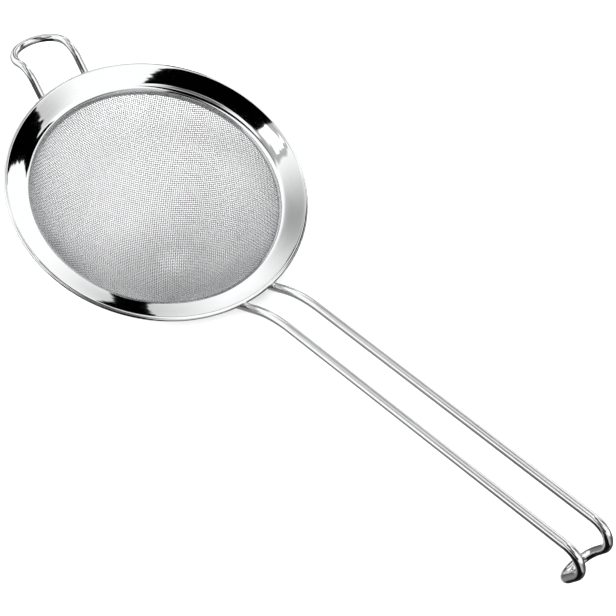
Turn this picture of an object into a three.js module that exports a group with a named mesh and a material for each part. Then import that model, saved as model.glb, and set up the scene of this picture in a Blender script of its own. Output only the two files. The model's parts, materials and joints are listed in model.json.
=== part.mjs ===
// Tea strainer: a flanged steel ring that holds a woven wire bowl, with a long hooked handle bent
// from one rod and a short support loop opposite it. Units are millimetres and +Z is up.
//
// The pieces are drawn in the ring's own frame: z = 0 is the flat top of the lip, +Z is the ring's
// axis and +X points along the handle. The whole strainer is then laid down the way it rests on a
// table, on the bottom of the bowl and on the hook.
import * as THREE from 'three';

// ---------- driving dimensions ----------
const ringRadius = 40;           // outer edge of the lip
const sheet = 0.4;               // steel of the ring
const lipWidth = 1.05;           // flat rim outside the cone
const collarRadius = 32.6;       // inner face of the upright collar
const coneBottom = -2.96;        // height where the cone would meet the collar, without the bend
const innerCornerRadius = 2.1;   // under the bend from cone to collar
const collarBottom = -4.9;
const clearance = 0.3;           // between pieces that touch

const meshThickness = 0.5;       // warp and weft together
const meshTop = -4.2;            // edge of the mesh, trapped between collar and band
const bowlTop = -5.2;            // where the upright edge of the mesh turns into the bowl
const bowlDepth = 27;            // lip to the outside of the bowl's bottom

const bandThickness = 0.8;
const bandTop = -3.5;
const bandBottom = -7.2;

const handle = {
  rod: 2.3,
  spacing: 10,                   // between the two rods, on centres
  rimX: 39.4,                    // a point on the rod's centre line, under the lip
  rimZ: -2.45,
  tuck: 5.2,                     // length from that point in to the welded end
  rise: 44,                      // degrees above the lip plane, next to the ring
  riseLength: 12.1,
  elbowRadius: 27,
  slope: 17.2,                   // degrees above the lip plane, along the grip
  gripLength: 85.4,
  hookRadius: 5.2,
  hookBend: 118,
  hookReturn: 2.7,
};

const loop = {
  rod: 2.1,
  spacing: 14.7,
  rimX: -38.4,
  rimZ: -2.7,
  tuck: 4.2,
  rise: 38,
  riseLength: 6.8,
  elbowRadius: 5.5,
  drop: 28.4,                    // degrees below the lip plane, at the end of the loop
};

const roundSides = 96;           // facets round the ring
const rodSides = 10;
const degreesPerFacet = 10;      // on a rod's bends
const bowlFacets = 16;           // from the bottom of the bowl to its edge
const cornerFacets = 5;          // round the bend from cone to collar

const tiltRange = [5, 40];       // degrees, on either side of the tilt at rest
const tiltHalvings = 40;

// ---------- materials ----------
const polishedSteel = () => new THREE.MeshStandardMaterial({ color: 0xd8dadc, metalness: 1, roughness: 0.08 });
const wireSteel = () => new THREE.MeshStandardMaterial({ color: 0xc9cbcd, metalness: 1, roughness: 0.2 });
const meshSteel = () => new THREE.MeshStandardMaterial({ color: 0xb4b6b8, metalness: 1, roughness: 0.4 });

const radians = THREE.MathUtils.degToRad;

function namedMesh(name, geometry, material) {
  const mesh = new THREE.Mesh(geometry, material);
  mesh.name = name;
  return mesh;
}

// ---------- turned pieces ----------

// A closed section turned about the ring's axis. Points are [radius, height], anticlockwise. The
// facets start half a facet round, so the bowl rests on the side of a facet and not on a corner.
function turned(section) {
  const outline = [...section, section[0]].map(([r, z]) => new THREE.Vector2(r, z));
  const geometry = new THREE.LatheGeometry(outline, roundSides, Math.PI / roundSides);
  geometry.rotateX(Math.PI / 2);
  return geometry;
}

// Points on a circular arc, in the section plane.
function arcPoints(centre, radius, fromDegrees, toDegrees, steps) {
  return Array.from({ length: steps + 1 }, (_, i) => {
    const angle = radians(fromDegrees + (toDegrees - fromDegrees) * i / steps);
    return [centre[0] + radius * Math.cos(angle), centre[1] + radius * Math.sin(angle)];
  });
}

// Lip, cone, rounded corner and collar, as one strip of sheet of even thickness.
function rimSection() {
  const lipInner = ringRadius - lipWidth;
  const coneAngle = THREE.MathUtils.radToDeg(Math.atan2(-coneBottom, lipInner - collarRadius));
  const half = radians(90 - coneAngle) / 2;
  const outerBend = innerCornerRadius + sheet;
  const bendCentre = [collarRadius + outerBend, coneBottom - outerBend * Math.tan(half)];
  const top = [[ringRadius, 0], [lipInner, 0]];
  const corner = arcPoints(bendCentre, outerBend, 90 + coneAngle, 180, cornerFacets);
  const cornerBack = arcPoints(bendCentre, innerCornerRadius, 180, 90 + coneAngle, cornerFacets);
  const lipBend = sheet * Math.tan(radians(coneAngle) / 2);
  return [
    ...top, ...corner,
    [collarRadius, collarBottom], [collarRadius + sheet, collarBottom],
    ...cornerBack,
    [lipInner + lipBend, -sheet], [ringRadius, -sheet],
  ];
}

const meshRadius = collarRadius + sheet + clearance;          // inner face of the trapped edge
const meshOuterRadius = meshRadius + meshThickness;

// The bowl is part of a sphere that meets the trapped edge at bowlTop.
const bowlRise = bowlDepth + bowlTop;
const bowlRadius = (meshOuterRadius ** 2 + bowlRise ** 2) / (2 * bowlRise);
const bowlCentre = [0, bowlRadius - bowlDepth];

function bowlSection() {
  const outerStart = THREE.MathUtils.radToDeg(Math.asin((bowlTop - bowlCentre[1]) / bowlRadius));
  const inner = bowlRadius - meshThickness;
  const innerStart = -THREE.MathUtils.radToDeg(Math.acos(meshRadius / inner));
  const outside = arcPoints(bowlCentre, bowlRadius, -90, outerStart, bowlFacets);
  const inside = arcPoints(bowlCentre, inner, innerStart, -90, bowlFacets);
  outside[0][0] = 0;
  inside[inside.length - 1][0] = 0;
  return [...outside, [meshOuterRadius, meshTop], [meshRadius, meshTop], ...inside];
}

function bandSection() {
  const inner = meshOuterRadius + clearance;
  const outer = inner + bandThickness;
  return [[inner, bandTop], [inner, bandBottom], [outer, bandBottom], [outer, bandTop]];
}

// ---------- bent rods ----------

// The centre line of a bent rod: straight runs, and bends about the current Y or local normal.
class RodPath extends THREE.Curve {
  constructor(start, heading) {
    super();
    this.points = [start.clone()];
    this.tangents = [heading.clone()];
  }

  end() {
    return this.points[this.points.length - 1];
  }

  heading() {
    return this.tangents[this.tangents.length - 1];
  }

  run(length) {
    this.points.push(this.end().clone().addScaledVector(this.heading(), length));
    this.tangents.push(this.heading().clone());
    return this;
  }

  bend(axis, degrees, radius) {
    const steps = Math.max(2, Math.ceil(Math.abs(degrees) / degreesPerFacet));
    const turn = radians(degrees);
    const toCentre = axis.clone().cross(this.heading()).multiplyScalar(Math.sign(degrees) * radius);
    const centre = this.end().clone().add(toCentre);
    const arm = this.end().clone().sub(centre);
    const heading = this.heading().clone();
    for (let i = 1; i <= steps; i++) {
      const angle = turn * i / steps;
      this.points.push(arm.clone().applyAxisAngle(axis, angle).add(centre));
      this.tangents.push(heading.clone().applyAxisAngle(axis, angle));
    }
    return this;
  }

  getPointAt(u, target = new THREE.Vector3()) {
    return target.copy(this.points[Math.round(u * (this.points.length - 1))]);
  }

  getPoint(t, target) {
    return this.getPointAt(t, target);
  }

  getTangentAt(u, target = new THREE.Vector3()) {
    return target.copy(this.tangents[Math.round(u * (this.points.length - 1))]);
  }
}

function sweptRod(path, diameter) {
  const corners = Array.from({ length: rodSides }, (_, i) => {
    const angle = 2 * Math.PI * (i + 0.5) / rodSides;
    return new THREE.Vector2(Math.cos(angle), Math.sin(angle)).multiplyScalar(diameter / 2);
  });
  return new THREE.ExtrudeGeometry(new THREE.Shape(corners), {
    steps: path.points.length - 1,
    extrudePath: path,
  });
}

const acrossRing = new THREE.Vector3(0, 1, 0);

// Both rods start under the flange at +Y and come back at -Y, so the way back repeats the way out.
function startUnderRim(rod, direction) {
  const rise = radians(rod.rise);
  const heading = new THREE.Vector3(direction * Math.cos(rise), 0, Math.sin(rise));
  const start = new THREE.Vector3(rod.rimX, rod.spacing / 2, rod.rimZ);
  return new RodPath(start.addScaledVector(heading, -rod.tuck), heading);
}

// A bend takes up this much of the straight run on each side of its corner.
const cornerLength = (radius, degrees) => radius * Math.tan(radians(degrees) / 2);

function handlePath() {
  const elbow = handle.rise - handle.slope;
  const riseRun = handle.tuck + handle.riseLength - cornerLength(handle.elbowRadius, elbow);
  const path = startUnderRim(handle, 1);
  path.run(riseRun).bend(acrossRing, elbow, handle.elbowRadius).run(handle.gripLength);
  path.bend(acrossRing, handle.hookBend, handle.hookRadius).run(handle.hookReturn);
  const level = path.heading().clone().cross(acrossRing);
  path.bend(level, -180, handle.spacing / 2);
  path.run(handle.hookReturn).bend(acrossRing, -handle.hookBend, handle.hookRadius);
  path.run(handle.gripLength).bend(acrossRing, -elbow, handle.elbowRadius).run(riseRun);
  return path;
}

function loopPath() {
  const elbow = loop.rise + loop.drop;
  const path = startUnderRim(loop, -1);
  path.run(loop.tuck + loop.riseLength).bend(acrossRing, -elbow, loop.elbowRadius);
  const level = path.heading().clone().cross(acrossRing);
  path.bend(level, -180, loop.spacing / 2);
  path.bend(acrossRing, elbow, loop.elbowRadius).run(loop.tuck + loop.riseLength);
  return path;
}

// ---------- assembly ----------
const ringFrame = new THREE.Group();
const bowl = namedMesh('mesh_bowl', turned(bowlSection()), meshSteel());
const handleWire = namedMesh('handle_wire', sweptRod(handlePath(), handle.rod), wireSteel());
ringFrame.add(
  namedMesh('rim', turned(rimSection()), polishedSteel()),
  namedMesh('clamp_band', turned(bandSection()), polishedSteel()),
  bowl,
  handleWire,
  namedMesh('support_loop', sweptRod(loopPath(), loop.rod), wireSteel()),
);

// Height of a piece's lowest point when the ring frame is tipped towards the handle.
function lowest(mesh, tilt) {
  const turn = new THREE.Matrix4().makeRotationY(tilt);
  const position = mesh.geometry.getAttribute('position');
  const point = new THREE.Vector3();
  let low = Infinity;
  for (let i = 0; i < position.count; i++) {
    low = Math.min(low, point.fromBufferAttribute(position, i).applyMatrix4(turn).z);
  }
  return low;
}

// The tilt at which the bowl and the hook touch the same table, found by halving.
function restTilt() {
  let [low, high] = tiltRange.map(radians);
  for (let i = 0; i < tiltHalvings; i++) {
    const middle = (low + high) / 2;
    if (lowest(handleWire, middle) > lowest(bowl, middle)) low = middle;
    else high = middle;
  }
  return (low + high) / 2;
}

ringFrame.rotation.y = restTilt();
ringFrame.updateMatrixWorld(true);

const box = new THREE.Box3().setFromObject(ringFrame, true);
const centre = box.getCenter(new THREE.Vector3());
ringFrame.position.set(-centre.x, -centre.y, -box.min.z);

const strainer = new THREE.Group();
strainer.add(ringFrame);

export default strainer;
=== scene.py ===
"""A polished steel tea strainer, lying on its bowl and its hook on a pale table.

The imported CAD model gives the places. Every CAD node is replaced here by a finer piece: turned
sheet metal with rounded edges, smooth bent rods, and a bowl that is really woven. Shapes are worked
out in the ring's own frame, in millimetres: z = 0 is the flat top of the lip, +Z is the ring's axis
and +X points along the handle.
"""

import json
import math

import bpy
import numpy as np
from mathutils import Matrix, Vector


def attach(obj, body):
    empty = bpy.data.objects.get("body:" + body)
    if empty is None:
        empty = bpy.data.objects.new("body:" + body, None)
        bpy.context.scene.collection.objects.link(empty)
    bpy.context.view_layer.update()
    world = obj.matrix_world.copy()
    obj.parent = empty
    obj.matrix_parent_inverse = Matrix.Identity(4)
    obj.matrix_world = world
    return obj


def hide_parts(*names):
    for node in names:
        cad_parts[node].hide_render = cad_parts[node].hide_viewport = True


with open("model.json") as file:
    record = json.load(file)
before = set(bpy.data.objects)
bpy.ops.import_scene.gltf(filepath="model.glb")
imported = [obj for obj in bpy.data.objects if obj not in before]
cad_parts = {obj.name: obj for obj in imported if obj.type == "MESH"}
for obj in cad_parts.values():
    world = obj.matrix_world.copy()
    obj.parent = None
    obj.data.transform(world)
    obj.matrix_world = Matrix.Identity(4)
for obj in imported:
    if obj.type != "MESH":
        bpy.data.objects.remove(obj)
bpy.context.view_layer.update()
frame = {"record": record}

MM = 0.001

# ---------- sizes, in millimetres and degrees ----------
RING_RADIUS = 40.0
SHEET = 0.4
LIP_CROWN = 0.75              # radius of the rounded lip
LIP_EDGE = 4.0                # above level, where the lip's curve stops at its outer edge
CONE_SLOPE = 25.0             # halfway down the cone
CONE_BOW = 2.2                # how much flatter the cone is at the lip, and steeper at the bend
COLLAR_RADIUS = 32.6
CORNER_RADIUS = 3.3           # top of the bend from cone to collar
COLLAR_BOTTOM = -4.9

BAND_INNER = 34.1
BAND_THICKNESS = 0.8
BAND_TOP = -3.5
BAND_BOTTOM = -7.2
BAND_EDGE = 0.25

MESH_WALL_RADIUS = 33.55      # middle of the trapped edge of the mesh
MESH_TOP = -4.2
BOWL_TOP = -5.2
BOWL_DEPTH = 26.75            # lip to the middle of the weave at the bottom
WEAVE_PITCH = 0.6
WEAVE_WIRE = 0.2
WEAVE_SIDES = 6
WEAVE_TURN = 45.0             # between the wires and the handle

HANDLE = dict(
    rod=2.3, spacing=10.0, rim_x=39.4, rim_z=-2.45, tuck=5.2, rise=44.0, rise_length=12.1,
    elbow_radius=27.0, slope=17.2, grip_length=85.4,
    hook_radius=5.2, hook_bend=118.0, hook_return=2.7,
)
LOOP = dict(
    rod=2.1, spacing=14.7, rim_x=-38.4, rim_z=-2.7, tuck=4.2, rise=38.0, rise_length=6.8,
    elbow_radius=5.5, drop=28.4,
)
ROD_SIDES = 40
ROD_EDGE = 0.25               # rounding of a cut end
ROD_EDGE_STEPS = 5
DEGREES_PER_STEP = 3.0
ROUND_SIDES = 360

CAMERA_AIM = (7.99, 1.55, 20.0)
CAMERA_DISTANCE = 334.8
CAMERA_AZIMUTH = 44.52
CAMERA_ELEVATION = 47.87
CAMERA_ROLL = 0.60
CAMERA_LENS = 78.9

# ---------- the ring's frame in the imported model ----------


def ring_frame():
    """The ring frame's matrix, read from the mount on the flat of the lip."""
    mount = next(mount for mount in frame["record"]["mounts"] if mount["name"] == "lip_top")
    x, _, z = mount["pos_m"]
    tilt = math.atan2(mount["axis"][0], mount["axis"][2])
    return Matrix.Translation((x, 0, z)) @ Matrix.Rotation(tilt, 4, "Y")


RING = ring_frame()

# ---------- mesh helpers ----------


def new_piece(name, points, faces, node, material, uvs=None):
    """One smooth piece, given in the ring's frame, riding on the strainer's only body."""
    turn = np.array(RING.to_3x3())
    points = np.asarray(points, float) * MM @ turn.T + tuple(RING.translation)
    mesh = bpy.data.meshes.new(name)
    mesh.from_pydata(points.tolist(), [], faces)
    mesh.validate()
    mesh.shade_smooth()
    if uvs is not None:
        layer = mesh.uv_layers.new(name="UVMap")
        loops = np.zeros(len(mesh.loops), np.int32)
        mesh.loops.foreach_get("vertex_index", loops)
        layer.data.foreach_set("uv", np.asarray(uvs, np.float32)[loops].ravel())
    piece = bpy.data.objects.new(name, mesh)
    bpy.context.scene.collection.objects.link(piece)
    piece.data.materials.append(material)
    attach(piece, "root")
    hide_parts(node)


def on_circle(centre, radius, degrees):
    """A point of a circle in the (radius, height) plane."""
    angle = math.radians(degrees)
    return (centre[0] + radius * math.cos(angle), centre[1] + radius * math.sin(angle))


def arc(centre, radius, start, stop, steps):
    """Points on a circular arc, from one angle in degrees to another."""
    return [on_circle(centre, radius, degrees) for degrees in np.linspace(start, stop, steps + 1)]


def turned(section, dent=None):
    """Points and faces of a closed section turned about the ring's axis."""
    section = np.array(section)
    rows = len(section)
    angles = 2 * np.pi * np.arange(ROUND_SIDES) / ROUND_SIDES
    radius = np.repeat(section[None, :, 0], ROUND_SIDES, 0)
    height = np.repeat(section[None, :, 1], ROUND_SIDES, 0)
    if dent:
        radius = radius - dent(angles[:, None], height, radius)
    points = np.stack([radius * np.cos(angles)[:, None], radius * np.sin(angles)[:, None], height], -1)
    faces = []
    for i in range(ROUND_SIDES):
        here, there = i * rows, (i + 1) % ROUND_SIDES * rows
        for k in range(rows):
            after = (k + 1) % rows
            faces.append((here + k, there + k, there + after, here + after))
    return points.reshape(-1, 3), faces


def unit(vectors):
    return vectors / np.linalg.norm(vectors, axis=-1, keepdims=True)


def swept(path, radius, sides, ups):
    """Points, faces and UVs of a round tube along a path. ups are directions across each point."""
    ahead = unit(np.gradient(path, axis=0))
    across = unit(np.cross(ahead, ups))
    over = np.cross(across, ahead)
    radius = np.broadcast_to(radius, len(path))[:, None, None]
    angles = 2 * np.pi * np.arange(sides) / sides
    cosine, sine = np.cos(angles)[None, :, None], np.sin(angles)[None, :, None]
    ring = cosine * across[:, None] + sine * over[:, None]
    points = (path[:, None] + radius * ring).reshape(-1, 3)
    faces = []
    for i in range(len(path) - 1):
        here, there = i * sides, (i + 1) * sides
        for k in range(sides):
            after = (k + 1) % sides
            faces.append((here + k, here + after, there + after, there + k))
    faces.append(tuple(range(sides - 1, -1, -1)))
    faces.append(tuple((len(path) - 1) * sides + k for k in range(sides)))
    along = np.concatenate([[0], np.cumsum(np.linalg.norm(np.diff(path, axis=0), axis=1))])
    uvs = np.stack(np.broadcast_arrays(along[:, None], angles[None] / (2 * np.pi)), -1).reshape(-1, 2)
    return points, faces, uvs


# ---------- node helpers ----------


class Nodes:
    """Short calls for building a node tree."""

    def __init__(self, tree):
        self.tree = tree
        self.tree.nodes.clear()

    def add(self, kind, inputs=None, **settings):
        node = self.tree.nodes.new(kind)
        for key, value in settings.items():
            setattr(node, key, value)
        for key, value in (inputs or {}).items():
            self.put(node.inputs[key], value)
        return node

    def put(self, socket, value):
        if isinstance(value, bpy.types.NodeSocket):
            self.tree.links.new(value, socket)
        else:
            socket.default_value = value

    def math(self, operation, *values):
        node = self.add("ShaderNodeMath", operation=operation)
        for socket, value in zip(node.inputs, values):
            self.put(socket, value)
        return node.outputs[0]

    def noise(self, vector, scale, detail=2.0, roughness=0.5):
        node = self.add("ShaderNodeTexNoise", {"Vector": vector, "Scale": scale, "Detail": detail,
                                               "Roughness": roughness})
        return node.outputs["Fac"]

    def remap(self, value, low, high, to_low, to_high, **settings):
        node = self.add("ShaderNodeMapRange", {"Value": value, "From Min": low, "From Max": high,
                                               "To Min": to_low, "To Max": to_high}, **settings)
        return node.outputs["Result"]

    def combine(self, x, y, z):
        return self.add("ShaderNodeCombineXYZ", {"X": x, "Y": y, "Z": z}).outputs[0]

    def mix_colour(self, factor, first, second):
        node = self.add("ShaderNodeMix", data_type="RGBA")
        self.put(node.inputs["Factor"], factor)
        self.put(node.inputs[6], first)
        self.put(node.inputs[7], second)
        return node.outputs[2]

    def mix_value(self, factor, first, second):
        node = self.add("ShaderNodeMix", data_type="FLOAT")
        self.put(node.inputs["Factor"], factor)
        self.put(node.inputs[2], first)
        self.put(node.inputs[3], second)
        return node.outputs[0]

    def dot(self, first, second):
        node = self.add("ShaderNodeVectorMath", {0: first, 1: second}, operation="DOT_PRODUCT")
        return node.outputs["Value"]

    def length(self, x, y):
        square = self.math("ADD", self.math("MULTIPLY", x, x), self.math("MULTIPLY", y, y))
        return self.math("SQRT", square)

    def circle(self, angle, radius):
        """A point on a circle, so that noise has no seam where the angle starts again."""
        return (self.math("MULTIPLY", self.math("COSINE", angle), radius),
                self.math("MULTIPLY", self.math("SINE", angle), radius))

    def soft_step(self, value, edge_at, softness):
        """1 where value is under edge_at, 0 over it, and smooth between."""
        over = self.math("SUBTRACT", value, edge_at)
        return self.remap(over, -softness / 2, softness / 2, 1.0, 0.0)

    def bump(self, shader, height, distance, strength=1.0):
        """Relief on a shader. distance is its full height in mm."""
        node = self.add("ShaderNodeBump", {"Height": height, "Strength": strength,
                                           "Distance": distance * MM})
        self.put(shader.inputs["Normal"], node.outputs[0])


def new_material(name, inputs):
    """A material with one shader, its nodes and that shader."""
    material = bpy.data.materials.new(name)
    material.use_nodes = True
    nodes = Nodes(material.node_tree)
    shader = nodes.add("ShaderNodeBsdfPrincipled", inputs)
    output = nodes.add("ShaderNodeOutputMaterial")
    nodes.put(output.inputs["Surface"], shader.outputs[0])
    return material, nodes, shader


def metal(name, base, detail):
    """A metal of a base colour, to which detail(nodes, shader) adds gloss, relief and patches."""
    material, nodes, shader = new_material(name, {"Base Color": (*base, 1), "Metallic": 1.0})
    detail(nodes, shader)
    return material


RINGS_PER_MM = 0.8             # polishing rings across the sheet
RING_DRIFT = 3.0               # how often they change round the axis
RING_HEIGHT = 0.055
SCUFFS_PER_MM = 6.0
SCUFFS_PER_RADIAN = 3.0
SCUFF_SPAN = (0.35, 0.75)      # the noise values between which a finish changes
POLISHED_ROUGHNESS = (0.03, 0.065)

ROD_LINES_AROUND = 9.0         # hairlines on a rod: fine round it, long along it
ROD_LINES_PER_MM = 0.12
ROD_LINE_HEIGHT = 0.04
ROD_LINE_SPAN = (0.3, 0.75)
ROD_ROUGHNESS = (0.06, 0.2)

WEAVE_BRIGHT = (0.82, 0.83, 0.84)
WEAVE_DULL = (0.72, 0.73, 0.74)
PATCHES_PER_M = 90.0
PATCH_SPAN = (0.35, 0.7)
GRAINS_PER_M = 2500.0
GRAIN_SPAN = (0.3, 0.7)
WEAVE_ROUGHNESS = (0.08, 0.2)

BAND_LINES_PER_MM = 12.0
BAND_LINES_PER_RADIAN = 1.5
BAND_LINE_HEIGHT = 0.03
BAND_LINE_SPAN = (0.3, 0.7)
BAND_ROUGHNESS = (0.14, 0.32)


def round_coordinates(nodes):
    """Radius in mm, angle in radians and height in mm about the ring's axis."""
    where = nodes.add("ShaderNodeTexCoord").outputs["Object"]
    offset = nodes.add("ShaderNodeVectorMath", {0: where, 1: RING.translation}, operation="SUBTRACT")
    x, y, z = (nodes.dot(offset.outputs[0], axis / MM) for axis in RING.to_3x3().col)
    return nodes.length(x, y), nodes.math("ARCTAN2", y, x), z


def polished_detail(nodes, shader):
    """Spun polish: shallow rings round the axis that tear the edges of reflections, and light scuffs."""
    radius, angle, z = round_coordinates(nodes)
    across = nodes.math("MULTIPLY", nodes.math("SUBTRACT", radius, z), RINGS_PER_MM)
    where = nodes.combine(*nodes.circle(angle, RING_DRIFT), across)
    rings = nodes.noise(where, scale=1.0, roughness=0.45)
    nodes.bump(shader, rings, RING_HEIGHT)
    out = nodes.math("MULTIPLY", radius, SCUFFS_PER_MM)
    turn = nodes.math("MULTIPLY", angle, SCUFFS_PER_RADIAN)
    scuffs = nodes.noise(nodes.combine(out, turn, z), scale=1.0, detail=4.0, roughness=0.7)
    nodes.put(shader.inputs["Roughness"], nodes.remap(scuffs, *SCUFF_SPAN, *POLISHED_ROUGHNESS))


def drawn_rod_detail(nodes, shader):
    """Drawn and buffed rod: hairlines along its length and small changes of gloss."""
    uv = nodes.add("ShaderNodeTexCoord").outputs["UV"]
    split = nodes.add("ShaderNodeSeparateXYZ", {"Vector": uv})
    along, around = split.outputs[0], split.outputs[1]
    turn = nodes.math("MULTIPLY", around, 2 * math.pi)
    along = nodes.math("MULTIPLY", along, ROD_LINES_PER_MM)
    where = nodes.combine(along, *nodes.circle(turn, ROD_LINES_AROUND))
    lines = nodes.noise(where, scale=1.0, detail=4.0, roughness=0.65)
    nodes.put(shader.inputs["Roughness"], nodes.remap(lines, *ROD_LINE_SPAN, *ROD_ROUGHNESS))
    nodes.bump(shader, lines, ROD_LINE_HEIGHT, strength=0.18)


def weave_detail(nodes, shader):
    """Bright drawn wire, a little duller and darker in patches where it has been worked."""
    where = nodes.add("ShaderNodeTexCoord").outputs["Object"]
    patches = nodes.noise(where, PATCHES_PER_M, detail=3.0)
    dull = nodes.remap(patches, *PATCH_SPAN, 0.0, 1.0)
    colour = nodes.mix_colour(dull, (*WEAVE_BRIGHT, 1), (*WEAVE_DULL, 1))
    nodes.put(shader.inputs["Base Color"], colour)
    grain = nodes.noise(where, GRAINS_PER_M, detail=1.0)
    nodes.put(shader.inputs["Roughness"], nodes.remap(grain, *GRAIN_SPAN, *WEAVE_ROUGHNESS))


def band_detail(nodes, shader):
    """Rolled strip: fine lines that run round the band."""
    radius, angle, z = round_coordinates(nodes)
    turn = nodes.math("MULTIPLY", angle, BAND_LINES_PER_RADIAN)
    up = nodes.math("MULTIPLY", z, BAND_LINES_PER_MM)
    lines = nodes.noise(nodes.combine(turn, up, radius), scale=1.0, detail=4.0, roughness=0.7)
    nodes.put(shader.inputs["Roughness"], nodes.remap(lines, *BAND_LINE_SPAN, *BAND_ROUGHNESS))
    nodes.bump(shader, lines, BAND_LINE_HEIGHT, strength=0.2)


POLISHED = metal("polished_ring_steel", (0.86, 0.865, 0.87), polished_detail)
ROD_STEEL = metal("polished_rod_steel", (0.84, 0.845, 0.85), drawn_rod_detail)
WEAVE_STEEL = metal("woven_wire_steel", WEAVE_BRIGHT, weave_detail)
BAND_STEEL = metal("rolled_band_steel", (0.74, 0.745, 0.75), band_detail)

# ---------- ring and clamp band ----------


def rim_section():
    """Rounded lip, slightly bowed cone, wide bend and short collar, as one strip of sheet."""
    edge = math.radians(LIP_EDGE)
    outer, inner = 90 + CONE_SLOPE - CONE_BOW, 90 + CONE_SLOPE + CONE_BOW
    crown = (RING_RADIUS - LIP_CROWN * math.cos(edge), -LIP_CROWN)
    cone_start = on_circle(crown, LIP_CROWN, outer)
    bend_r = COLLAR_RADIUS + CORNER_RADIUS
    cone_width = cone_start[0] - on_circle((bend_r, 0), CORNER_RADIUS, inner)[0]
    cone_drop = cone_width * math.tan(math.radians(CONE_SLOPE))
    bow_radius = math.hypot(cone_width, cone_drop) / 2 / math.sin(math.radians(CONE_BOW))
    bow = on_circle(cone_start, -bow_radius, outer)
    bend = (bend_r, cone_start[1] - cone_drop - CORNER_RADIUS * math.sin(math.radians(inner)))
    foot_above = min(0, bend[1] - COLLAR_BOTTOM - SHEET / 2)
    lowest = 180 + math.degrees(math.asin(foot_above / CORNER_RADIUS))
    foot_centre = on_circle(bend, CORNER_RADIUS - SHEET / 2, lowest)
    edge_centre = on_circle(crown, LIP_CROWN - SHEET / 2, LIP_EDGE)
    lip = arc(crown, LIP_CROWN, LIP_EDGE, outer, steps=16)
    cone = arc(bow, bow_radius, outer, inner, steps=10)
    corner = arc(bend, CORNER_RADIUS, inner, lowest, steps=20)
    foot = arc(foot_centre, SHEET / 2, lowest, lowest + 180, steps=6)
    corner_back = arc(bend, CORNER_RADIUS - SHEET, lowest, inner, steps=16)
    cone_back = arc(bow, bow_radius - SHEET, inner, outer, steps=10)
    lip_back = arc(crown, LIP_CROWN - SHEET, outer, LIP_EDGE, steps=8)
    end = arc(edge_centre, SHEET / 2, LIP_EDGE - 180, LIP_EDGE, steps=6)
    upper = lip + cone[1:-1] + corner[:-1]
    under = corner_back[1:] + cone_back[1:-1] + lip_back[:-1]
    return upper + foot + under + end[:-1]


def between(start, stop, steps):
    """Points strictly between two points of a section."""
    return [tuple(np.add(start, np.subtract(stop, start) * k / steps)) for k in range(1, steps)]


def band_section():
    """A rounded strip, with enough rows on its outer face for the weld dimples."""
    inner, outer = BAND_INNER + BAND_EDGE, BAND_INNER + BAND_THICKNESS - BAND_EDGE
    low, high = BAND_BOTTOM + BAND_EDGE, BAND_TOP - BAND_EDGE
    bottom = arc((outer, low), BAND_EDGE, -90, 0, steps=5)
    top = arc((outer, high), BAND_EDGE, 0, 90, steps=5)
    inner_top = arc((inner, high), BAND_EDGE, 90, 180, steps=3)
    inner_bottom = arc((inner, low), BAND_EDGE, 180, 270, steps=3)
    return bottom + between(bottom[-1], top[0], steps=14) + top + inner_top + inner_bottom


def make_ring():
    points, faces = turned(rim_section())
    new_piece("flanged_ring", points, faces, "rim", POLISHED)


SPOT_WELDS = 20
WELD_RADIUS = 0.75
WELD_DEPTH = 0.12
WELD_FADE = 1.3                # over 1, so that a dimple is flat in the middle
OUTER_FACE = 0.9               # share of the band's thickness beyond which a point is on its outer face


def weld_dimples(angle, height, radius):
    """How far each point of the band is pressed in by the ring of spot welds."""
    step = 2 * np.pi / SPOT_WELDS
    beside = (np.mod(angle + step / 2, step) - step / 2) * BAND_INNER
    above = height - (BAND_TOP + BAND_BOTTOM) / 2
    distance = np.hypot(beside, above) / WELD_RADIUS
    outside = radius > BAND_INNER + BAND_THICKNESS * OUTER_FACE
    return np.where(outside, WELD_DEPTH * np.clip(WELD_FADE - distance ** 3, 0, 1), 0)


def make_band():
    points, faces = turned(band_section(), weld_dimples)
    new_piece("clamp_ring", points, faces, "clamp_band", BAND_STEEL)


# ---------- bent rods ----------


class RodPath:
    """The centre line of a bent rod: straight runs, and bends about a given axis."""

    def __init__(self, start, heading):
        self.points = [Vector(start)]
        self.heading = Vector(heading)

    def run(self, length, steps=12):
        start = self.points[-1].copy()
        self.points += [start + self.heading * (length * k / steps) for k in range(1, steps + 1)]
        return self

    def bend(self, axis, degrees, radius):
        steps = max(2, math.ceil(abs(degrees) / DEGREES_PER_STEP))
        centre = self.points[-1] + axis.cross(self.heading) * math.copysign(radius, degrees)
        arm = self.points[-1] - centre
        for k in range(1, steps + 1):
            turn = Matrix.Rotation(math.radians(degrees) * k / steps, 3, axis)
            self.points.append(centre + turn @ arm)
        self.heading = Matrix.Rotation(math.radians(degrees), 3, axis) @ self.heading
        return self


ACROSS = Vector((0, 1, 0))


def start_under_rim(rod, direction):
    rise = math.radians(rod["rise"])
    heading = Vector((direction * math.cos(rise), 0, math.sin(rise)))
    start = Vector((rod["rim_x"], rod["spacing"] / 2, rod["rim_z"])) - heading * rod["tuck"]
    return RodPath(start, heading)


def corner_length(radius, degrees):
    return radius * math.tan(math.radians(degrees) / 2)


def handle_path():
    rod = HANDLE
    elbow = rod["rise"] - rod["slope"]
    rise_run = rod["tuck"] + rod["rise_length"] - corner_length(rod["elbow_radius"], elbow)
    path = start_under_rim(rod, 1)
    path.run(rise_run).bend(ACROSS, elbow, rod["elbow_radius"]).run(rod["grip_length"], steps=40)
    path.bend(ACROSS, rod["hook_bend"], rod["hook_radius"]).run(rod["hook_return"], steps=3)
    path.bend(path.heading.cross(ACROSS), -180, rod["spacing"] / 2)
    path.run(rod["hook_return"], steps=3).bend(ACROSS, -rod["hook_bend"], rod["hook_radius"])
    path.run(rod["grip_length"], steps=40).bend(ACROSS, -elbow, rod["elbow_radius"]).run(rise_run)
    return path.points


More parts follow.
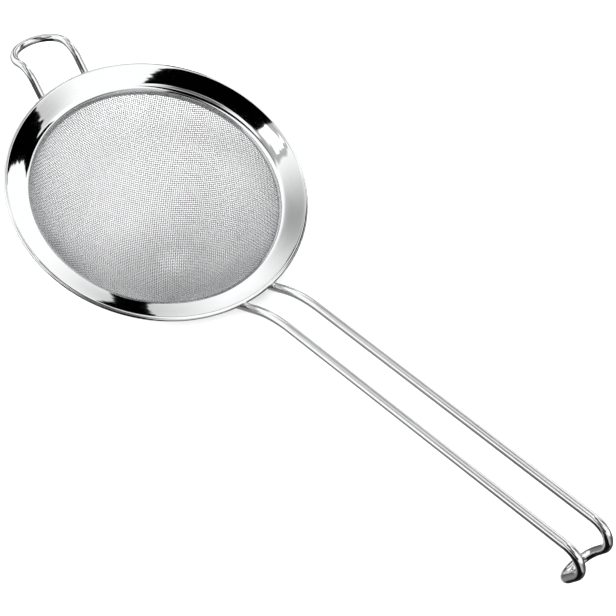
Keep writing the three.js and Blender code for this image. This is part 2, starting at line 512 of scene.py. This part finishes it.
def loop_path():
    rod = LOOP
    elbow = rod["rise"] + rod["drop"]
    rise_run = rod["tuck"] + rod["rise_length"]
    path = start_under_rim(rod, -1)
    path.run(rise_run).bend(ACROSS, -elbow, rod["elbow_radius"])
    path.bend(path.heading.cross(ACROSS), -180, rod["spacing"] / 2)
    path.bend(ACROSS, elbow, rod["elbow_radius"]).run(rise_run)
    return path.points


def end_points(stop, before, depth):
    """Points at the given depths inside one end of a path."""
    return stop + unit(before - stop) * depth[:, None]


def rounded_ends(path, radius):
    """The path with short extra steps at each end, and the tube's radius at every point."""
    path = np.array([tuple(point) for point in path])
    quarter = np.radians(np.linspace(90, 0, ROD_EDGE_STEPS + 1))
    depth = ROD_EDGE * (1 - np.sin(quarter))
    narrow = ROD_EDGE * (1 - np.cos(quarter))
    first = end_points(path[0], path[1], depth)
    last = end_points(path[-1], path[-2], depth)
    points = np.concatenate([first, path[1:-1], last[::-1]])
    radii = np.full(len(points), radius)
    radii[:len(narrow)] -= narrow
    radii[-len(narrow):] -= narrow[::-1]
    return points, radii


def path_ups(points):
    """A steady direction across a path, carried along it without twist."""
    ahead = unit(np.gradient(points, axis=0))
    up = np.cross(ahead[0], tuple(ACROSS))
    ups = []
    for forward in ahead:
        up = unit(up - forward * up.dot(forward))
        ups.append(up)
    return np.array(ups)


def make_rod(name, path, rod, node):
    points, radii = rounded_ends(path, rod["rod"] / 2)
    points, faces, uvs = swept(points, radii, ROD_SIDES, path_ups(points))
    new_piece(name, points, faces, node, ROD_STEEL, uvs)


# ---------- woven bowl ----------

BOWL_RISE = BOWL_DEPTH + BOWL_TOP
BOWL_RADIUS = (MESH_WALL_RADIUS ** 2 + BOWL_RISE ** 2) / (2 * BOWL_RISE)
BOWL_CENTRE = np.array([0.0, 0.0, BOWL_RADIUS - BOWL_DEPTH])
MOUTH_ANGLE = math.asin(MESH_WALL_RADIUS / BOWL_RADIUS)
SPARE_CROSSINGS = 2            # past the mouth
LEVEL = (1, 1, 0)              # takes the height out of a direction


def net_quadrant():
    """Directions to the crossings of a cloth of even pitch pressed into a sphere.

    Neighbouring crossings stay one pitch apart, so each new crossing is the mirror image of the
    one across the cell, in the plane through the sphere's centre and the other two corners.
    """
    step = 2 * math.asin(WEAVE_PITCH / 2 / BOWL_RADIUS)
    count = math.ceil(MOUTH_ANGLE / step) + SPARE_CROSSINGS
    net = np.zeros((count, count, 3))
    for k in range(count):
        net[k, 0] = (math.sin(k * step), 0, -math.cos(k * step))
        net[0, k] = (0, math.sin(k * step), -math.cos(k * step))
    for i in range(1, count):
        for j in range(1, count):
            normal = unit(np.cross(net[i - 1, j], net[i, j - 1]))
            far = net[i - 1, j - 1]
            net[i, j] = far - 2 * far.dot(normal) * normal
    return net


def trapped_edge(direction):
    """The upright end of a wire, between the collar and the clamp band."""
    return [direction * MESH_WALL_RADIUS + (0, 0, height) for height in (BOWL_TOP, MESH_TOP)]


def one_wire(net, lane, along_x, offset):
    """One wire of the cloth, as points and outward directions, or None past the mouth."""
    reach = net.shape[0] - 1
    crossings = []
    for k in range(-reach, reach + 1):
        i, j = (k, lane) if along_x else (lane, k)
        direction = net[abs(i), abs(j)] * (1 if i >= 0 else -1, 1 if j >= 0 else -1, 1)
        if -direction[2] > math.cos(MOUTH_ANGLE):
            over = offset * (1 if (i + j) % 2 else -1)
            crossings.append((direction, BOWL_RADIUS + over))
    if len(crossings) < 2:
        return None
    points, outward = [], []
    for n, (direction, height) in enumerate(crossings):
        points.append(BOWL_CENTRE + direction * height)
        outward.append(direction)
        if n + 1 < len(crossings):
            middle = unit(direction + crossings[n + 1][0])
            points.append(BOWL_CENTRE + middle * BOWL_RADIUS)
            outward.append(middle)
    first, last = unit(outward[0] * LEVEL), unit(outward[-1] * LEVEL)
    points = trapped_edge(first)[::-1] + points + trapped_edge(last)
    outward = [first, first, *outward, last, last]
    turn = np.array(Matrix.Rotation(math.radians(WEAVE_TURN), 3, "Z"))
    return np.array(points) @ turn.T, np.array(outward) @ turn.T


def make_wires(name, net, along_x, lanes):
    """Wires that run one way, on the given lanes, as one mesh."""
    offset = WEAVE_WIRE / 2 * (1 if along_x else -1)
    points, faces, uvs, total = [], [], [], 0
    for lane in lanes:
        wire = one_wire(net, lane, along_x, offset)
        if wire is None:
            continue
        tube, tube_faces, tube_uvs = swept(wire[0], WEAVE_WIRE / 2, WEAVE_SIDES, wire[1])
        points.append(tube)
        uvs.append(tube_uvs + (0, lane))
        faces += [tuple(corner + total for corner in face) for face in tube_faces]
        total += len(tube)
    points, uvs = np.concatenate(points), np.concatenate(uvs)
    new_piece(name, points, faces, "mesh_bowl", WEAVE_STEEL, uvs)


def make_bowl():
    net = net_quadrant()
    last = net.shape[0] - 1
    sides = {"one_side": range(-last, 0), "other_side": range(0, last + 1)}
    for way, along_x in (("warp", True), ("weft", False)):
        for side, lanes in sides.items():
            make_wires(f"woven_bowl_{way}_{side}", net, along_x, lanes)


# ---------- stage, light and camera ----------

# The table and the softboxes, in metres. Neither shows in a reflection: the metal sees the studio
# below instead, which has a ground and lights of its own.
TABLE_HALF = 3.0
TABLE_COLOUR = (0.93, 0.93, 0.93)
TABLE_ROUGHNESS = 0.8
BACKDROP_COLOUR = (0.95, 0.95, 0.95)
SOFTBOX_SIZE = 0.7
SOFTBOXES = (
    dict(name="front_softbox", place=(0.4, -0.4, 0.8), power=16.0),
    dict(name="left_softbox", place=(-0.7, -0.3, 0.6), power=4.0),
    dict(name="right_softbox", place=(0.6, -0.6, 0.6), power=4.0),
)


def make_floor():
    corners = [(x * TABLE_HALF, y * TABLE_HALF, 0) for x, y in ((-1, -1), (1, -1), (1, 1), (-1, 1))]
    mesh = bpy.data.meshes.new("table")
    mesh.from_pydata(corners, [], [(0, 1, 2, 3)])
    material, _, _ = new_material("pale_table", {"Base Color": (*TABLE_COLOUR, 1),
                                                 "Roughness": TABLE_ROUGHNESS})
    mesh.materials.append(material)
    floor = bpy.data.objects.new("table", mesh)
    floor.visible_glossy = False
    bpy.context.scene.collection.objects.link(floor)


# What the metal sees round it: a bright tent with soft grey patches and black flags. Directions are
# azimuth from +X and elevation from the table, in degrees, or the x and y of a unit vector. A flag
# with a flare widens above and below its middle.
TENT_LIGHT = 1.15
SOFT_SPOTS = (
    dict(name="over the far side", azimuth=172, elevation=57, reach=28, light=0.42),
    dict(name="beside the left flag", azimuth=52, elevation=39, reach=17, light=0.66),
    dict(name="low on the right", azimuth=124, elevation=23, reach=18, light=0.66),
    dict(name="behind the seam", azimuth=123, elevation=48, reach=22, light=0.66),
)
CARDS = (
    dict(name="grey beside the lamp", azimuth=-121, elevation=58, width=15, height=11, edge=7, light=0.42),
    dict(name="left flag", azimuth=66, elevation=30, width=6.3, height=22, edge=0.8, light=0.0, lean=0.3,
         flare=1.2, widest=9),
    dict(name="narrow flag", azimuth=123.6, elevation=21.5, width=2.7, height=44, edge=0.5, light=0.0,
         lean=-0.36, flare=0.3, widest=2.0),
    dict(name="behind the camera", azimuth=-45, elevation=48, width=24, height=13, edge=14, light=0.14),
    dict(name="low on the far side", azimuth=152, elevation=8, width=10, height=14, edge=3, light=0.12),
    dict(name="frame of the lamp", azimuth=-118, elevation=73, width=25, height=7, edge=3, light=0.5),
    dict(name="lamp", azimuth=-118, elevation=73, width=17, height=3, edge=1.5, light=2.0),
)
CEILING_GAP = dict(x=0.112, y=0.219, radius=0.6, y_edge=-0.02, x_edge=-0.05, edge=0.012)
STAND_TOP = dict(x=0.15, y=0.0, radius=0.73, edge=0.02)
STAND_FOOT = dict(x=0.2, y=-0.25, radius=0.675, edge=0.02)
SEAM = dict(x=-0.32, y=0.33, half_x=0.2, half_y=0.07, edge=0.03)
CEILING_SLOT = dict(x=0.05, y=0.08, half_x=0.2, half_y=0.11, edge=0.03)

# The ground as the metal sees it: a near side towards -y and a far side towards +y, which blend over
# GROUND_MEET. Each changes from left to right over a ramp in x, and has an end strip of its own
# shade. The horizon is the elevation where the ground meets the tent.
GROUND_NEAR = dict(left=0.25, right=0.005, ramp=(-0.35, -0.15), end=0.6, end_at=0.78, end_edge=0.04)
GROUND_FAR = dict(left=0.6, right=0.1, ramp=(-0.35, 0.0), end=0.1, end_at=-0.6, end_edge=0.1)
GROUND_MEET = (-0.3, 0.3)
HORIZON_NEAR = (-12.0, 7.0)
HORIZON_FAR = -2.0
HORIZON_EDGE = 5.0


def spot_mask(nodes, direction, spot):
    """1 at the middle of a soft spot, falling smoothly to 0 at its reach."""
    azimuth, elevation = math.radians(spot["azimuth"]), math.radians(spot["elevation"])
    level = math.cos(elevation)
    middle = (math.cos(azimuth) * level, math.sin(azimuth) * level, math.sin(elevation))
    away = nodes.math("DEGREES", nodes.math("ARCCOSINE", nodes.dot(direction, middle)))
    return nodes.remap(away, 0.0, spot["reach"], 1.0, 0.0, interpolation_type="SMOOTHSTEP")


def card_mask(nodes, azimuth, elevation, card):
    """1 on a card."""
    above = nodes.math("SUBTRACT", elevation, card["elevation"])
    turn = nodes.math("SUBTRACT", azimuth, card["azimuth"])
    turn = nodes.math("SUBTRACT", turn, nodes.math("MULTIPLY", above, card.get("lean", 0.0)))
    turn = nodes.math("ABSOLUTE", nodes.math("WRAP", turn, 180.0, -180.0))
    above = nodes.math("ABSOLUTE", above)
    if "flare" in card:
        flare = nodes.math("MINIMUM", nodes.math("MULTIPLY", above, card["flare"]), card["widest"])
        turn = nodes.math("SUBTRACT", turn, flare)
    return nodes.math("MULTIPLY", nodes.soft_step(turn, card["width"], card["edge"]),
                      nodes.soft_step(above, card["height"], card["edge"]))


def circle_mask(nodes, x, y, circle):
    """1 inside a circle of directions, seen from above."""
    beside, along = nodes.math("SUBTRACT", x, circle["x"]), nodes.math("SUBTRACT", y, circle["y"])
    return nodes.soft_step(nodes.length(beside, along), circle["radius"], circle["edge"])


def gap_mask(nodes, x, y):
    """The dark gap in the tent's ceiling: a round lower edge, cut off straight on two sides."""
    gap = CEILING_GAP
    mask = nodes.math("MULTIPLY", circle_mask(nodes, x, y, gap),
                      nodes.soft_step(y, gap["y_edge"], gap["edge"]))
    past_x = nodes.soft_step(nodes.math("MULTIPLY", x, -1.0), -gap["x_edge"], gap["edge"])
    return nodes.math("MULTIPLY", mask, past_x)


def stand_mask(nodes, x, y):
    """The dark crescent of the camera and its stand."""
    above = nodes.math("SUBTRACT", 1.0, circle_mask(nodes, x, y, STAND_TOP))
    return nodes.math("MULTIPLY", above, circle_mask(nodes, x, y, STAND_FOOT))


def box_mask(nodes, x, y, box):
    """1 inside a box of directions, seen from above."""
    beside = nodes.math("ABSOLUTE", nodes.math("SUBTRACT", x, box["x"]))
    across = nodes.math("ABSOLUTE", nodes.math("SUBTRACT", y, box["y"]))
    return nodes.math("MULTIPLY", nodes.soft_step(beside, box["half_x"], box["edge"]),
                      nodes.soft_step(across, box["half_y"], box["edge"]))


def ground_light(nodes, x, side):
    """Shade of one side of the ground, without its end strip."""
    return nodes.remap(x, *side["ramp"], side["left"], side["right"])


def ground(nodes, x, y):
    """Shade of the ground, and the elevation at which it meets the tent."""
    before_end = nodes.soft_step(x, GROUND_NEAR["end_at"], GROUND_NEAR["end_edge"])
    near = nodes.mix_value(before_end, GROUND_NEAR["end"], ground_light(nodes, x, GROUND_NEAR))
    past_end = nodes.soft_step(x, GROUND_FAR["end_at"], GROUND_FAR["end_edge"])
    far = nodes.mix_value(past_end, ground_light(nodes, x, GROUND_FAR), GROUND_FAR["end"])
    away = nodes.remap(y, *GROUND_MEET, 0.0, 1.0)
    near_horizon = nodes.remap(x, *GROUND_NEAR["ramp"], *HORIZON_NEAR)
    return nodes.mix_value(away, near, far), nodes.mix_value(away, near_horizon, HORIZON_FAR)


def studio_light(nodes, direction):
    """Brightness of the studio in a direction."""
    x, y, z = nodes.add("ShaderNodeSeparateXYZ", {"Vector": direction}).outputs
    azimuth = nodes.math("DEGREES", nodes.math("ARCTAN2", y, x))
    elevation = nodes.math("DEGREES", nodes.math("ARCSINE", z))
    up = nodes.math("GREATER_THAN", z, 0.0)
    light = TENT_LIGHT
    for spot in SOFT_SPOTS:
        light = nodes.mix_value(spot_mask(nodes, direction, spot), light, spot["light"])
    for card in CARDS:
        light = nodes.mix_value(card_mask(nodes, azimuth, elevation, card), light, card["light"])
    masks = [gap_mask(nodes, x, y), stand_mask(nodes, x, y)]
    masks += [box_mask(nodes, x, y, box) for box in (SEAM, CEILING_SLOT)]
    for mask in masks:
        light = nodes.mix_value(nodes.math("MULTIPLY", mask, up), light, 0.0)
    shade, horizon = ground(nodes, x, y)
    return nodes.mix_value(nodes.soft_step(elevation, horizon, HORIZON_EDGE), light, shade)


def make_world():
    """The studio as the metal sees it, and a plain pale backdrop for the camera."""
    world = bpy.data.worlds.new("studio")
    bpy.context.scene.world = world
    world.use_nodes = True
    nodes = Nodes(world.node_tree)
    light = studio_light(nodes, nodes.add("ShaderNodeTexCoord").outputs["Generated"])
    studio = nodes.add("ShaderNodeBackground", {"Color": (1, 1, 1, 1), "Strength": light})
    backdrop = nodes.add("ShaderNodeBackground", {"Color": (*BACKDROP_COLOUR, 1), "Strength": 1.0})
    seen = nodes.add("ShaderNodeLightPath").outputs["Is Camera Ray"]
    mix = nodes.add("ShaderNodeMixShader", {0: seen, 1: studio.outputs[0], 2: backdrop.outputs[0]})
    output = nodes.add("ShaderNodeOutputWorld")
    nodes.put(output.inputs["Surface"], mix.outputs[0])


def make_softbox(name, place, power):
    light = bpy.data.lights.new(name, "AREA")
    light.shape = "DISK"
    light.size = SOFTBOX_SIZE
    light.energy = power
    lamp = bpy.data.objects.new(name, light)
    lamp.location = place
    lamp.rotation_euler = (-Vector(place)).to_track_quat("-Z", "Y").to_euler()
    lamp.visible_glossy = False
    bpy.context.scene.collection.objects.link(lamp)


def make_camera():
    azimuth, elevation = math.radians(CAMERA_AZIMUTH), math.radians(CAMERA_ELEVATION)
    level = math.cos(elevation)
    back = Vector((math.sin(azimuth) * level, -math.cos(azimuth) * level, math.sin(elevation)))
    data = bpy.data.cameras.new("camera")
    data.lens = CAMERA_LENS
    data.sensor_width = 36.0
    data.clip_start = 0.01
    camera = bpy.data.objects.new("camera", data)
    place = Matrix.Translation(Vector(CAMERA_AIM) * MM + back * (CAMERA_DISTANCE * MM))
    camera.matrix_world = (place @ back.to_track_quat("Z", "Y").to_matrix().to_4x4()
                           @ Matrix.Rotation(math.radians(CAMERA_ROLL), 4, "Z"))
    bpy.context.scene.collection.objects.link(camera)
    bpy.context.scene.camera = camera


make_camera()
make_ring()
make_band()
make_rod("hooked_handle", handle_path(), HANDLE, "handle_wire")
make_rod("cup_rest_loop", loop_path(), LOOP, "support_loop")
make_bowl()
make_floor()
make_world()
for softbox in SOFTBOXES:
    make_softbox(**softbox)
bpy.context.scene.view_settings.view_transform = "Standard"
